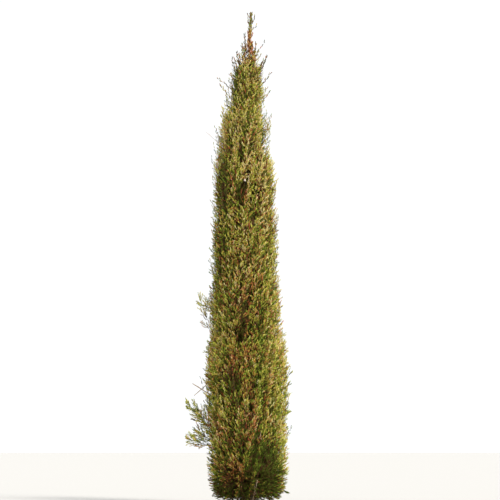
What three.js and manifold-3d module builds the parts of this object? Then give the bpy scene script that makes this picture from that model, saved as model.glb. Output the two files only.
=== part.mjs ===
// A columnar cypress, four metres tall, in millimetres with +Z up.
// The trunk stands on its flat cut at the origin. Steep boughs leave it inside the crown and carry
// plumes of foliage, stacked in tiers round the trunk. Each plume keeps to a cell of its own.
import * as THREE from "three";
import { mergeVertices } from "three/addons/utils/BufferGeometryUtils.js";
import Module from "manifold-3d";

const wasm = await Module();
wasm.setup();

// Driving dimensions
const treeHeight = 4000;
const touchGap = 0.3; // between a limb and what it meets
const weldGap = 1e-3;

const trunk = {
  tip: 3640, // where the trunk hands over to the leading shoot
  baseRadius: 44,
  tipRadius: 4.5,
  taperPower: 0.85,
  flare: 26, // how far the root flare stands out at the ground
  flareHeight: 75,
  lobes: 5,
  lobeDepth: 0.16,
  sides: 12,
  steps: 14,
  ringPower: 1.25, // rings lie closer together in the flare
  clear: 5, // from the trunk to the plumes
};

// Height above the ground against a size, both in millimetres
const crownOutline = [
  [0, 258], [290, 304], [850, 321], [1120, 320], [1350, 292], [2000, 266],
  [2650, 245], [2980, 196], [3300, 140], [3600, 78], [3780, 34], [treeHeight, 14],
];
const trunkLean = [
  [0, 0], [300, 0], [1350, -20], [2700, -30], [3150, -34], [3450, -6], [3700, 12], [treeHeight, 24],
];
const trunkSway = [
  [0, 0], [300, 0], [1200, 14], [2300, -12], [3300, 10], [treeHeight, 0],
];

// Each tier of plumes: the height of its floor at the trunk, how many stand round it, its first bearing
const tiers = [
  { low: 42, count: 5, bearing: 54, carried: true },
  { low: 560, count: 5, bearing: 18, carried: true },
  { low: 1080, count: 4, bearing: 62, carried: true },
  { low: 1600, count: 4, bearing: 18, carried: true },
  { low: 2110, count: 4, bearing: 62, carried: true },
  { low: 2600, count: 3, bearing: 30, carried: true },
  { low: 3060, count: 3, bearing: 85, carried: false },
  { low: 3490, count: 1, bearing: 0, carried: false },
];
const crownCeiling = treeHeight + 400;
const floorSlope = 2.1; // how steeply a tier's floor climbs outwards
const floorWave = { height: 60, round: 3, turn: 2 }; // waves round the trunk, turned from tier to tier

const channelShare = 0.34; // the bare space round the trunk, as a share of the crown's radius
const cellMargin = 3; // from a plume to the wall of its cell
const overhang = 1.12; // how far a spray may stand out of the outline, and one of the leading shoot
const leaderOverhang = 1.9;
const smallestSize = 95; // the least a plume's pieces are sized by

const core = {
  inner: 0.4, outer: 0.83, width: 0.95, foot: 12, head: 20, // its reach in its cell
  sides: 6, rings: 5,
  roundness: 5, // 2 is an ellipsoid, and more is squarer
  lumps: 0.14, // how far every other corner is drawn in
  waves: [9, 7, 8, 5], // of the lumps, to the side and up
};
const bough = {
  reach: 0.26, drop: 24, rise: 215, lowestRoot: 60, lowestTip: 205,
  sunk: 0.5, bendReach: 0.9, bendRise: 0.42, off: 0.25, // where it starts, bends and stands
  radius: 0.041, tipShare: 0.55, sides: 5, steps: 2,
};
const stem = {
  reach: 0.56, bend: 0.7, clear: 40, lift: 30, leaderTip: 36, // where it runs in its cell
  radius: 0.02, least: 3.2, tipShare: 0.6, sides: 3, steps: 2,
};
const twig = {
  count: 5, leaderCount: 8, reach: [0.8178, 0.9048], low: 0.04, span: 0.72, spread: 0.68, // where their tips lie
  from: 0.04, clearFrom: 0.2, to: 0.7, leaderTo: 0.9, // where they leave the stem
  climb: 26, radius: 0.016, least: 2.4, tipShare: 0.7, steepness: 0.35, sides: 3, steps: 1, spare: 36,
};
const spray = {
  length: 0.8, width: 0.46, thickness: 0.1, belt: 0.4, droop: 0.42, roundness: 1.3, sink: 1.2,
  notch: 0.22, notchWidth: 0.86, wave: 0.07, notchWave: 0.3, play: 0.4, tipPlay: 0.1,
  endTips: 7, sideTips: 5, side: 0.6, sideFrom: 0.78, sideLength: 0.8, sideSink: 0.3,
  tries: 9, shrink: 0.93, turn: 2, rise: 0.5, spare: 22,
};

// Shoots that stand out of the outline: bearing in degrees, the tip's distance from the trunk, its height
const strays = [
  [178, 519, 836], [186, 536, 572], [180, 400, 1640], [2, 373, 1052], [-3, 332, 1300], [183, 284, 2990],
  [178, 240, 3400], [0, 118, 3757], [4, 138, 3636], [-6, 178, 3500], [0, 255, 3090],
  [84, 372, 1180], [262, 366, 1570], [108, 330, 2230], [290, 300, 2700], [250, 214, 3330],
];
const stray = { climb: 1.1, overhang: 2.6, twigShare: 0.7, highestStart: 0.95 };

const bark = new THREE.MeshStandardMaterial({ color: 0x6b5444, roughness: 0.95, metalness: 0 });
const youngBark = new THREE.MeshStandardMaterial({ color: 0x7a5a40, roughness: 0.9, metalness: 0 });
const foliage = new THREE.MeshStandardMaterial({ color: 0x7d7c2e, roughness: 0.85, metalness: 0 });

const up = new THREE.Vector3(0, 0, 1);
const goldenShare = 0.618;
const goldenAngle = 2.39996;

// A seeded draw from 0 to 1
function dice(seed) {
  let state = seed >>> 0;
  return () => {
    state = (state + 0x6d2b79f5) >>> 0;
    let mixed = Math.imul(state ^ (state >>> 15), 1 | state);
    mixed = (mixed + Math.imul(mixed ^ (mixed >>> 7), 61 | mixed)) ^ mixed;
    return ((mixed ^ (mixed >>> 14)) >>> 0) / 4294967296;
  };
}

function sizeAt(stations, z) {
  const next = stations.findIndex(([height]) => height > z);
  if (next === 0) return stations[0][1];
  if (next < 0) return stations.at(-1)[1];
  const [lowHeight, lowSize] = stations[next - 1];
  const [highHeight, highSize] = stations[next];
  const share = THREE.MathUtils.smoothstep(z, lowHeight, highHeight);
  return THREE.MathUtils.lerp(lowSize, highSize, share);
}

const crownRadius = (z) => sizeAt(crownOutline, z);

function trunkRadius(z) {
  const left = 1 - THREE.MathUtils.clamp(z / trunk.tip, 0, 1);
  return THREE.MathUtils.lerp(trunk.tipRadius, trunk.baseRadius, left ** trunk.taperPower);
}

// A point of the crown: its bearing round the trunk's centre line, its distance from it, its height
function crownPoint(bearing, distance, z) {
  return new THREE.Vector3(
    sizeAt(trunkLean, z) + distance * Math.cos(bearing),
    sizeAt(trunkSway, z) + distance * Math.sin(bearing),
    z,
  );
}

function fromTrunk(point) {
  const x = point.x - sizeAt(trunkLean, point.z);
  const y = point.y - sizeAt(trunkSway, point.z);
  return { bearing: Math.atan2(y, x), distance: Math.hypot(x, y) };
}

// The surface between one tier of plumes and the next: a wavy funnel, or the ground for the lowest
function floorHeight(level, bearing, distance) {
  if (level === 0) return tiers[0].low;
  if (level === tiers.length) return crownCeiling;
  const { low } = tiers[level];
  const radius = crownRadius(low);
  const wave = Math.sin(floorWave.round * bearing + floorWave.turn * level) * (radius / crownRadius(0));
  return low + floorSlope * Math.max(0, distance - channelShare * radius) + floorWave.height * wave;
}

function insideCell(cell, point, margin = cellMargin) {
  const { bearing, distance } = fromTrunk(point);
  const aside = THREE.MathUtils.euclideanModulo(bearing - cell.bearing + Math.PI, 2 * Math.PI);
  const turned = Math.abs(aside - Math.PI);
  const toWall = cell.single ? Infinity : distance * Math.sin(cell.half - turned);
  return (
    toWall > margin &&
    turned < cell.half &&
    point.z <= treeHeight &&
    point.z > floorHeight(cell.level, bearing, distance) + margin &&
    point.z < floorHeight(cell.level + 1, bearing, distance) - margin &&
    distance > cell.bore(point.z) + margin &&
    distance < crownRadius(point.z) * cell.overhang
  );
}

// A closed mesh as a solid that can be joined and cut
function solidOf(geometry) {
  const plain = geometry.clone();
  plain.deleteAttribute("normal");
  plain.deleteAttribute("uv");
  const merged = mergeVertices(plain, weldGap);
  return new wasm.Manifold(
    new wasm.Mesh({
      numProp: 3,
      vertProperties: merged.getAttribute("position").array,
      triVerts: new Uint32Array(merged.index.array),
    }),
  );
}

function geometryOf(solid) {
  const mesh = solid.getMesh();
  const geometry = new THREE.BufferGeometry();
  geometry.setAttribute("position", new THREE.BufferAttribute(mesh.vertProperties, 3));
  geometry.setIndex(new THREE.BufferAttribute(mesh.triVerts, 1));
  geometry.computeVertexNormals();
  return geometry;
}

// Moves each vertex of a geometry to where the given rule sends it
function reshape(geometry, rule) {
  const position = geometry.getAttribute("position");
  const vertex = new THREE.Vector3();
  for (let i = 0; i < position.count; i++) {
    vertex.fromBufferAttribute(position, i);
    const moved = rule(vertex);
    position.setXYZ(i, moved.x, moved.y, moved.z);
  }
  return geometry;
}

// A cylinder that stands on its end, one unit long, for a rule to bend and taper
function rod(sides, steps) {
  return new THREE.CylinderGeometry(1, 1, 1, sides, steps).rotateX(Math.PI / 2).translate(0, 0, 0.5);
}

// One tapering limb along a curve with its ends cut square, or with extra thickness the room it needs
function limb(curve, startRadius, endRadius, sides, steps, extra = 0) {
  const turn = new THREE.Quaternion();
  const thicker = extra / Math.cos(Math.PI / sides);
  return reshape(rod(sides, steps), ({ x, y, z }) => {
    const along = THREE.MathUtils.clamp(z, 0, 1);
    const tangent = curve.getTangent(along);
    turn.setFromUnitVectors(up, tangent);
    const radius = THREE.MathUtils.lerp(startRadius, endRadius, along) + thicker;
    return new THREE.Vector3(x * radius, y * radius, 0)
      .applyQuaternion(turn)
      .add(curve.getPoint(along))
      .addScaledVector(tangent, along === 1 ? extra : 0);
  });
}

// The trunk, or with extra thickness the tool that keeps a limb clear of it
function trunkGeometry(extra = 0) {
  return reshape(rod(trunk.sides, trunk.steps), ({ x, y, z }) => {
    const height = trunk.tip * z ** trunk.ringPower;
    const flare = Math.exp(-height / trunk.flareHeight);
    const lobe = 1 + trunk.lobeDepth * flare * Math.cos(trunk.lobes * Math.atan2(y, x));
    const radius = (trunkRadius(height) + trunk.flare * flare) * lobe + extra;
    const round = Math.hypot(x, y);
    return crownPoint(Math.atan2(y, x), round * radius, height + (z > 1 - weldGap ? extra : 0));
  });
}

// A lump that fills the middle of a cell, with every other corner drawn in
function coreSolid(cell, draw) {
  const tilt = draw() * Math.PI;
  const ball = new THREE.SphereGeometry(1, core.sides, core.rings).rotateX(Math.PI / 2);
  const lump = reshape(ball, ({ x, y, z }) => {
    const sum = [x, y, z].reduce((total, value) => total + Math.abs(value) ** core.roundness, 0);
    const [xWaves, zWaves, yWaves, backWaves] = core.waves;
    const wave = Math.sin(xWaves * x + zWaves * z + tilt) * Math.cos(yWaves * y - backWaves * z);
    const lumps = core.lumps * (0.5 + 0.5 * wave);
    const fill = sum ** (-1 / core.roundness) * (1 - lumps);
    const bearing = cell.bearing + y * fill * cell.half * core.width;
    const share = THREE.MathUtils.mapLinear(x * fill, -1, 1, core.inner, core.outer);
    const level = THREE.MathUtils.mapLinear(z * fill, -1, 1, 0, 1);
    let height = cell.low;
    for (let pass = 0; pass < 4; pass++) { // the floor and the radius each depend on the other
      const distance = share * crownRadius(height);
      const foot = floorHeight(cell.level, bearing, distance) + core.foot;
      const head = floorHeight(cell.level + 1, bearing, distance) - core.head;
      height = THREE.MathUtils.lerp(foot, head, level);
    }
    return crownPoint(bearing, share * crownRadius(height), height);
  });
  return solidOf(lump);
}

const varied = (draw) => 1 + spray.play * (draw() - 0.5);

// The outline of a spray one unit long: its root, then tips and notches from one side to the other
function sprayOutline(tips, draw) {
  const outline = [new THREE.Vector3(0, 0, 0)];
  for (let i = 0; i < 2 * tips - 1; i++) {
    const across = i / (tips - 1) - 1;
    const notch = i % 2 === 1 ? spray.notch * varied(draw) : 0;
    const droop = spray.droop * Math.abs(across) ** spray.roundness;
    const along = 1 - droop - notch + spray.tipPlay * (draw() - 0.5);
    const wave = spray.wave * (i % 4 === 0 ? 1 : -1) * (notch > 0 ? spray.notchWave : 1);
    const side = across * spray.width * 0.5 * (notch > 0 ? spray.notchWidth : 1);
    outline.push(new THREE.Vector3(side, wave, along));
  }
  return outline;
}

// A toothed spray along a direction, thickest at its middle, with its root sunk in what it grows from
function sprayBlade(root, direction, length, roll, tips, draw) {
  const outline = sprayOutline(tips, draw);
  const turn = new THREE.Quaternion()
    .setFromUnitVectors(up, direction)
    .multiply(new THREE.Quaternion().setFromAxisAngle(up, roll));
  return reshape(new THREE.SphereGeometry(1, outline.length, 2), ({ x, y, z }) => {
    const station = Math.round((Math.atan2(z, -x) / (2 * Math.PI)) * outline.length);
    const rim = outline[(station + outline.length) % outline.length];
    const middle = new THREE.Vector3(0, Math.sign(y) * spray.thickness * 0.5, spray.belt);
    return (Math.abs(y) > 0.5 ? middle : rim.clone())
      .multiplyScalar(length)
      .applyQuaternion(turn)
      .add(root);
  });
}

function allInside(cell, geometry) {
  const position = geometry.getAttribute("position");
  const vertex = new THREE.Vector3();
  for (let i = 0; i < position.count; i++) {
    if (!insideCell(cell, vertex.fromBufferAttribute(position, i))) return false;
  }
  return true;
}

// The stem's curve: from the bough's tip or the trunk, out and then up through the cell
function stemCurve(cell) {
  if (cell.single) {
    const top = treeHeight - stem.leaderTip + stem.least;
    return new THREE.LineCurve3(cell.foot, crownPoint(0, 0, top));
  }
  const ceiling = floorHeight(cell.level + 1, cell.bearing, stem.reach * crownRadius(cell.low));
  const top = ceiling - stem.clear;
  const middle = (cell.foot.z + top) / 2;
  return new THREE.QuadraticBezierCurve3(
    cell.foot,
    crownPoint(cell.bearing, stem.bend * crownRadius(middle), middle),
    crownPoint(cell.bearing, stem.reach * crownRadius(top), top),
  );
}

// Joins a piece to a body. A piece is left out, and null given back, where it would shut in a void or
// cut through more than what it grows from
function joined(body, piece, spare) {
  const both = body.add(piece);
  const clean = both.numTri() <= body.numTri() + piece.numTri() + spare;
  return clean && both.decompose().length === 1 ? both : null;
}

// Grows a spray where it fits its cell, turned and a little shorter at each try
function withSpray(body, cell, root, direction, tips, length, draw) {
  for (let tries = 0; tries < spray.tries; tries++) {
    const steeper = direction.clone().lerp(up, spray.rise * draw()).normalize();
    const roll = Math.atan2(direction.y, direction.x) + Math.PI / 2 + spray.turn * (draw() - 0.5);
    const blade = sprayBlade(root, steeper, length * spray.shrink ** tries, roll, tips, draw);
    const both = allInside(cell, blade) ? joined(body, solidOf(blade), spray.spare) : null;
    if (both) return both;
  }
  return body;
}

// A twig with two sprays: one carries on from its end and one leaves it to the side
function withTwig(body, cell, start, end, length, draw) {
  const path = new THREE.LineCurve3(start, end);
  const girth = Math.max(twig.least, twig.radius * cell.size);
  const wood = solidOf(limb(path, girth, girth * twig.tipShare, twig.sides, twig.steps));
  const grown = joined(body, wood, twig.spare);
  if (!grown) return body;
  const forward = end.clone().sub(start).normalize();
  const steep = forward.clone().lerp(up, twig.steepness).normalize();
  const root = end.clone().addScaledVector(forward, -spray.sink * girth);
  const ended = withSpray(grown, cell, root, steep, spray.endTips, length, draw);
  const across = forward.clone().cross(up).normalize();
  const aside = steep.addScaledVector(across, spray.side * varied(draw)).normalize();
  const sideRoot = path.getPoint(spray.sideFrom).addScaledVector(aside, -spray.sideSink * girth);
  return withSpray(ended, cell, sideRoot, aside, spray.sideTips, length * spray.sideLength, draw);
}

// The shoots of a plume that reach out of the crown's outline
function withStrays(body, cell, curve, draw) {
  const loose = { ...cell, overhang: stray.overhang };
  const [foot, top] = [curve.getPoint(0), curve.getPoint(1)];
  return strays.reduce((grown, [bearing, distance, height]) => {
    const tip = crownPoint(THREE.MathUtils.degToRad(bearing), distance, height);
    if (!insideCell(loose, tip)) return grown;
    const fromHeight = height - stray.climb * (distance - stem.reach * crownRadius(height));
    const share = (fromHeight - foot.z) / (top.z - foot.z);
    const start = curve.getPoint(THREE.MathUtils.clamp(share, cell.from, stray.highestStart));
    const end = start.clone().lerp(tip, stray.twigShare);
    return withTwig(grown, loose, start, end, tip.distanceTo(end), draw);
  }, body);
}

// Where a twig ends: by turns to either side, and higher in the cell the further up the stem it starts
function twigEnd(cell, index, share, start, draw) {
  const swing = 2 * THREE.MathUtils.euclideanModulo(0.5 + index * goldenShare, 1) - 1;
  const bearing = cell.single ? index * goldenAngle : cell.bearing + swing * cell.half * twig.spread;
  const distance = crownRadius(start.z) * THREE.MathUtils.lerp(...twig.reach, draw());
  const foot = floorHeight(cell.level, bearing, distance);
  const head = floorHeight(cell.level + 1, bearing, distance);
  const height = THREE.MathUtils.lerp(foot, head, twig.low + share * twig.span);
  return crownPoint(bearing, distance, cell.single ? start.z + twig.climb : height);
}

// One plume: a stem, twigs that leave it by turns, and the core that their sprays stand out of
function plume(cell) {
  const draw = dice(cell.seed);
  const curve = stemCurve(cell);
  const thick = Math.max(stem.least, stem.radius * cell.size);
  let body = solidOf(limb(curve, thick, thick * stem.tipShare, stem.sides, stem.steps));
  if (!cell.single) body = body.add(coreSolid(cell, draw));
  body = withStrays(body, cell, curve, draw);
  const top = curve.getTangent(1);
  const tipRoot = curve.getPoint(1).addScaledVector(top, -thick);
  const tipLength = cell.single ? stem.leaderTip : spray.length * cell.size;
  body = withSpray(body, cell, tipRoot, top, spray.endTips, tipLength, draw);
  const count = cell.single ? twig.leaderCount : twig.count;
  for (let i = 0; i < count; i++) {
    const share = i / (count - 1);
    const along = THREE.MathUtils.lerp(cell.from, cell.single ? twig.leaderTo : twig.to, share);
    const start = curve.getPoint(along);
    const end = twigEnd(cell, i, share, start, draw);
    if (insideCell(cell, end)) body = withTwig(body, cell, start, end, spray.length * cell.size, draw);
  }
  return body;
}

// A bough: from the trunk, out at first and then steeply up to where its plume begins
function boughCurve(cell) {
  const { foot, reach } = cell;
  const rise = bough.rise * (crownRadius(cell.low) / crownRadius(tiers[1].low));
  const root = Math.max(foot.z - rise, bough.lowestRoot);
  return new THREE.QuadraticBezierCurve3(
    crownPoint(cell.bearing, trunkRadius(root) * bough.sunk, root),
    crownPoint(cell.bearing, reach * bough.bendReach, THREE.MathUtils.lerp(root, foot.z, bough.bendRise)),
    crownPoint(cell.bearing, reach, foot.z),
  );
}

// Where a plume's stem starts: at its bough's tip, in the trunk, or on top of the trunk
function cellFoot({ level, low, bearing, carried, single, reach }) {
  if (single) return crownPoint(0, 0, trunk.tip + touchGap);
  if (carried) return crownPoint(bearing, reach, level === 0 ? bough.lowestTip : low - bough.drop);
  return crownPoint(bearing, 0, low + stem.lift);
}

function cells() {
  return tiers.flatMap(({ low, count, bearing, carried }, level) =>
    Array.from({ length: count }, (_, i) => {
      const high = level + 1 < tiers.length ? tiers[level + 1].low : crownCeiling;
      const cell = { level, low, high, count, carried, single: count === 1 };
      cell.name = `${level + 1}${String.fromCharCode(97 + i)}`;
      cell.seed = 100 * (level + 1) + i;
      cell.bearing = THREE.MathUtils.degToRad(bearing + (360 * i) / count);
      cell.half = Math.PI / count;
      cell.size = Math.max(smallestSize, crownRadius((low + high) / 2));
      cell.overhang = cell.single ? leaderOverhang : overhang;
      cell.from = carried || cell.single ? twig.from : twig.clearFrom;
      const bore = (z) => Math.max(channelShare * crownRadius(z), trunkRadius(z) + trunk.clear);
      cell.bore = cell.single ? () => 0 : bore;
      const tipHeight = level === 0 ? bough.lowestTip : low - bough.drop;
      cell.reach = bough.reach * crownRadius(tipHeight) + bough.off * trunkRadius(tipHeight);
      cell.foot = cellFoot(cell);
      return cell;
    }),
  );
}

const tree = new THREE.Group();

function addPiece(name, solid, material) {
  const piece = new THREE.Mesh(geometryOf(solid), material);
  piece.name = name;
  tree.add(piece);
  return piece;
}

const trunkSolid = solidOf(trunkGeometry());
const trunkClear = solidOf(trunkGeometry(touchGap));
addPiece("trunk", trunkSolid, bark);

for (const cell of cells()) {
  let leafy = plume(cell);
  if (cell.carried) {
    const thick = bough.radius * crownRadius(cell.low);
    const shape = [boughCurve(cell), thick, thick * bough.tipShare, bough.sides, bough.steps];
    addPiece(`bough_${cell.name}`, solidOf(limb(...shape)).subtract(trunkClear), youngBark);
    leafy = leafy.subtract(solidOf(limb(...shape, touchGap)));
  } else {
    leafy = leafy.subtract(trunkClear);
  }
  addPiece(`foliage_${cell.name}`, leafy, foliage);
}

export default tree;
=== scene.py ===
import math
import random

import bmesh
import bpy
import numpy as np
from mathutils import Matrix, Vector, noise


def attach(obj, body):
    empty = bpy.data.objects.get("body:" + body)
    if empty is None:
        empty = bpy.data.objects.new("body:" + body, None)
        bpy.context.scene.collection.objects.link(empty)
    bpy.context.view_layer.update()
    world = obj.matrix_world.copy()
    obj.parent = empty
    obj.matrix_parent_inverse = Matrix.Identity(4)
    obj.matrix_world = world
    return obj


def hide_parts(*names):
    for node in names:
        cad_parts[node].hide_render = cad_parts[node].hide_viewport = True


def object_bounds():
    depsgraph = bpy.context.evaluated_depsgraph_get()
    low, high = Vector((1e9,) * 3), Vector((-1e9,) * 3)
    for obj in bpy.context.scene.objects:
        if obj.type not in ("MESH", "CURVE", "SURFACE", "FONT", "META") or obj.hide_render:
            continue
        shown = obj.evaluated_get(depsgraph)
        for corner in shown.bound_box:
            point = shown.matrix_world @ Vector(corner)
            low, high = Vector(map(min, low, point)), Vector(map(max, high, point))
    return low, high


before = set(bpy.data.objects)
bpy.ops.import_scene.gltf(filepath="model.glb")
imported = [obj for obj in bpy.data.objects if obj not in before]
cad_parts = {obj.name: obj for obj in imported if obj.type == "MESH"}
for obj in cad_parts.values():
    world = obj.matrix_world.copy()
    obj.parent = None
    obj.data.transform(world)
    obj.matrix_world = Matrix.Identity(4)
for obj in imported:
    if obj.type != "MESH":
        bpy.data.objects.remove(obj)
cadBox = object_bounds()
print("frame loaded,", len(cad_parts), "nodes")


# The camera stands far off and low, a little tilted up

camera = {"place": (0.016, -16.0, 0.527), "tilt": math.radians(5.404), "lens": 143.52, "sensor": 36}


def addObject(name, data):
    made = bpy.data.objects.new(name, data)
    bpy.context.scene.collection.objects.link(made)
    return made


def makeCamera():
    data = bpy.data.cameras.new("camera")
    data.lens = camera["lens"]
    data.sensor_width = camera["sensor"]
    data.dof.use_dof = False
    shot = addObject("camera", data)
    shot.location = camera["place"]
    shot.rotation_euler = (math.pi / 2 + camera["tilt"], 0, 0)
    bpy.context.scene.camera = shot


makeCamera()
print("camera placed")


# The crown's shape, as in the part's source: heights against sizes, then tiers of plumes round the trunk

crown = {
    "height": 4.0,
    "outline": [
        (0, 0.258), (0.29, 0.304), (0.85, 0.321), (1.12, 0.32), (1.35, 0.292), (2.0, 0.266),
        (2.65, 0.245), (2.98, 0.196), (3.3, 0.14), (3.6, 0.078), (3.78, 0.034), (4.0, 0.014),
    ],
    "lean": [
        (0, 0), (0.3, 0), (1.35, -0.02), (2.7, -0.03),
        (3.15, -0.034), (3.45, -0.006), (3.7, 0.012), (4.0, 0.024),
    ],
    "sway": [(0, 0), (0.3, 0), (1.2, 0.014), (2.3, -0.012), (3.3, 0.01), (4.0, 0)],
    # the height of each tier's floor at the trunk, its plumes, its first bearing in degrees
    "tiers": [
        (0.042, 5, 54), (0.56, 5, 18), (1.08, 4, 62), (1.6, 4, 18),
        (2.11, 4, 62), (2.6, 3, 30), (3.06, 3, 85), (3.49, 1, 0),
    ],
    "carriedTiers": 6,  # the lower ones stand on boughs, the rest grow from the trunk
    "ceiling": 4.4,
    "floorSlope": 2.1,  # the floors rise outwards like funnels
    "floorWave": 0.06,
    "channel": 0.34,  # inside this share of the radius a floor is level
    "topClear": 0.02,  # twigs of the plumes end this far below the top
    "leastSize": 0.095,
}

trunk = {
    "tip": 3.64, "baseRadius": 0.044, "tipRadius": 0.0045, "taperPower": 0.85,
    "flare": 0.026, "flareHeight": 0.075, "lobes": 5, "lobeDepth": 0.16,
    "sides": 72, "cuts": 260, "crowding": 1.15,  # its rings are closer together near the foot
    "strip": 0.0022, "stripNoise": (5, 3.2), "stripEdge": 3, "barkScale": 46,
    "plate": 0.0012, "plateNoise": (13, 7), "plateEdge": 2,
    "twist": 0.5,  # the strips wind a little round the trunk
}

bough = {
    "reach": 0.26, "pastTrunk": 0.25, "drop": 0.024, "rise": 0.215,
    "rootDepth": 0.5, "lowestRoot": 0.06, "lowestTip": 0.205, "bend": (0.9, 0.42),
    "radius": 0.041, "tipShare": 0.55, "sides": 16, "cuts": 30, "strip": 0.0009, "barkScale": 90,
}

stem = {
    "reach": 0.56, "bend": 0.7, "clear": 0.04, "leaderTip": 0.036, "footRise": 0.03, "twigs": (0.02, 0.97),
    "radius": 0.02, "least": 0.0032, "tipShare": 0.45, "sides": 10, "cuts": 36, "strip": 0.0005,
    "barkScale": 90,
}

# Steps that spread things evenly: a turn round an axis, then shares of one direction and of two
goldenTurn = 2.39996
goldenStep = 0.618034
pairSteps = (0.754878, 0.569840)


def clamp(value, low=0, high=1):
    return min(high, max(low, value))


def between(pair, share):
    return pair[0] + (pair[1] - pair[0]) * share


def swingAt(number, step):
    # from -1 to 1, spread evenly as the number goes up
    return 2 * ((0.5 + number * step) % 1) - 1


def sizeAt(stations, z):
    if z <= stations[0][0]:
        return stations[0][1]
    for (lowZ, lowSize), (highZ, highSize) in zip(stations, stations[1:]):
        if z < highZ:
            share = (z - lowZ) / (highZ - lowZ)
            return lowSize + (highSize - lowSize) * share * share * (3 - 2 * share)
    return stations[-1][1]


def crownRadius(z):
    return sizeAt(crown["outline"], z)


def trunkRadius(z):
    left = 1 - clamp(z / trunk["tip"])
    return trunk["tipRadius"] + (trunk["baseRadius"] - trunk["tipRadius"]) * left ** trunk["taperPower"]


def outwardOn(bearing):
    return Vector((math.cos(bearing), math.sin(bearing), 0))


def crownPoint(bearing, distance, z):
    x = sizeAt(crown["lean"], z) + distance * math.cos(bearing)
    y = sizeAt(crown["sway"], z) + distance * math.sin(bearing)
    return Vector((x, y, z))


def rimPoint(bearing, reach, z):
    # reach is a share of the crown's radius
    return crownPoint(bearing, crownRadius(z) * reach, z)


def fromTrunk(point):
    x = point[0] - sizeAt(crown["lean"], point[2])
    y = point[1] - sizeAt(crown["sway"], point[2])
    return math.atan2(y, x), math.hypot(x, y)


def outwardAt(point):
    bearing, distance = fromTrunk(point)
    return outwardOn(bearing), distance


def turnedBy(bearing, other):
    return abs((bearing - other + math.pi) % (2 * math.pi) - math.pi)


def floorHeight(level, bearing, distance):
    tiers = crown["tiers"]
    if level == 0:
        return tiers[0][0]
    if level == len(tiers):
        return crown["ceiling"]
    low = tiers[level][0]
    radius = crownRadius(low)
    wave = crown["floorWave"] * radius / crownRadius(0) * math.sin(3 * bearing + 2 * level)
    return low + crown["floorSlope"] * max(0, distance - crown["channel"] * radius) + wave


# A plume is a cell between two floors and two borders, with the foot of its stem

def makeCells():
    tiers = crown["tiers"]
    cells = []
    for level, (low, count, first) in enumerate(tiers):
        high = tiers[level + 1][0] if level + 1 < len(tiers) else crown["ceiling"]
        tipHeight = bough["lowestTip"] if level == 0 else low - bough["drop"]
        reach = bough["reach"] * crownRadius(tipHeight) + trunkRadius(tipHeight) * bough["pastTrunk"]
        carried = level < crown["carriedTiers"]
        for i in range(count):
            bearing = math.radians(first + 360 * i / count)
            foot = crownPoint(bearing, 0, low + stem["footRise"])
            if carried:
                foot = crownPoint(bearing, reach, tipHeight)
            if count == 1:
                foot = crownPoint(0, 0, trunk["tip"])
            cells.append({
                "name": f"{level + 1}{'abcde'[i]}", "seed": 100 * (level + 1) + i, "level": level,
                "low": low, "high": high, "bearing": bearing, "half": math.pi / count,
                "size": max(crown["leastSize"], crownRadius((low + high) / 2)),
                "single": count == 1, "carried": carried, "reach": reach, "foot": foot,
            })
    return cells


def homeOf(point):
    # the plume that a place belongs to, or else the leader
    bearing, distance = fromTrunk(point)
    for cell in cells:
        facing = cell["single"] or turnedBy(bearing, cell["bearing"]) <= cell["half"]
        floor, ceiling = (floorHeight(cell["level"] + i, bearing, distance) for i in (0, 1))
        if facing and floor < point.z < ceiling:
            return cell
    return cells[-1]


# Curves are three control points, a foot, a bend and a tip

def alongCurve(curve, share):
    foot, bend, tip = curve
    return foot * (1 - share) ** 2 + bend * 2 * share * (1 - share) + tip * share ** 2


def curveDirection(curve, share):
    foot, bend, tip = curve
    return ((bend - foot) * (1 - share) + (tip - bend) * share).normalized()


def boughCurve(cell):
    foot = cell["foot"]
    bendOut, bendUp = bough["bend"]
    rise = bough["rise"] * crownRadius(cell["low"]) / crownRadius(crown["tiers"][1][0])
    root = max(foot.z - rise, bough["lowestRoot"])
    return (
        crownPoint(cell["bearing"], trunkRadius(root) * bough["rootDepth"], root),
        crownPoint(cell["bearing"], cell["reach"] * bendOut, root + (foot.z - root) * bendUp),
        crownPoint(cell["bearing"], cell["reach"], foot.z),
    )


def stemCurve(cell):
    if cell["single"]:
        tip = crownPoint(0, 0, crown["height"] - stem["leaderTip"])
        return cell["foot"], (cell["foot"] + tip) / 2, tip
    reach = stem["reach"]
    top = floorHeight(cell["level"] + 1, cell["bearing"], reach * crownRadius(cell["low"])) - stem["clear"]
    middle = (cell["foot"].z + top) / 2
    return (
        cell["foot"],
        rimPoint(cell["bearing"], stem["bend"], middle),
        rimPoint(cell["bearing"], reach, top),
    )


cells = makeCells()
leafyNodes = ["foliage_" + cell["name"] for cell in cells]
boughNodes = ["bough_" + cell["name"] for cell in cells if cell["carried"]]
print("crown laid out,", len(cells), "plumes")


# Materials. A tone changes some of the bark's colours, which run from its furrows to its weathered edges

barkFinish = {
    "furrow": "2e231a", "dark": "4a392b", "strip": "75604b", "weathered": "97846c",
    "stops": [(0.32, "furrow"), (0.45, "dark"), (0.58, "strip"), (0.74, "weathered")],
    "stretch": (1, 1, 0.09), "grain": {"Detail": 6.0, "Roughness": 0.6},
    "flakes": 2.5, "flakeStretch": (1, 1, 0.3), "flakeGrain": {"Detail": 3.0},
    "roughness": [(0.3, 0.72), (0.7, 0.94)], "specular": 0.25, "bump": (0.8, 0.003),
}
youngTone = {"dark": "5a4230", "strip": "86664a", "weathered": "a58c70"}
deadTone = {"furrow": "8a705c", "dark": "bca084", "strip": "dcc4a8", "weathered": "f0e2d0"}
# Broken wood is pale, and this tone is lighter still to stand in for the light on the stub: painted light
brokenTone = {"furrow": "d0ac94", "dark": "f2d6c4", "strip": "fff0e4", "weathered": "fff8f2"}

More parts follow.
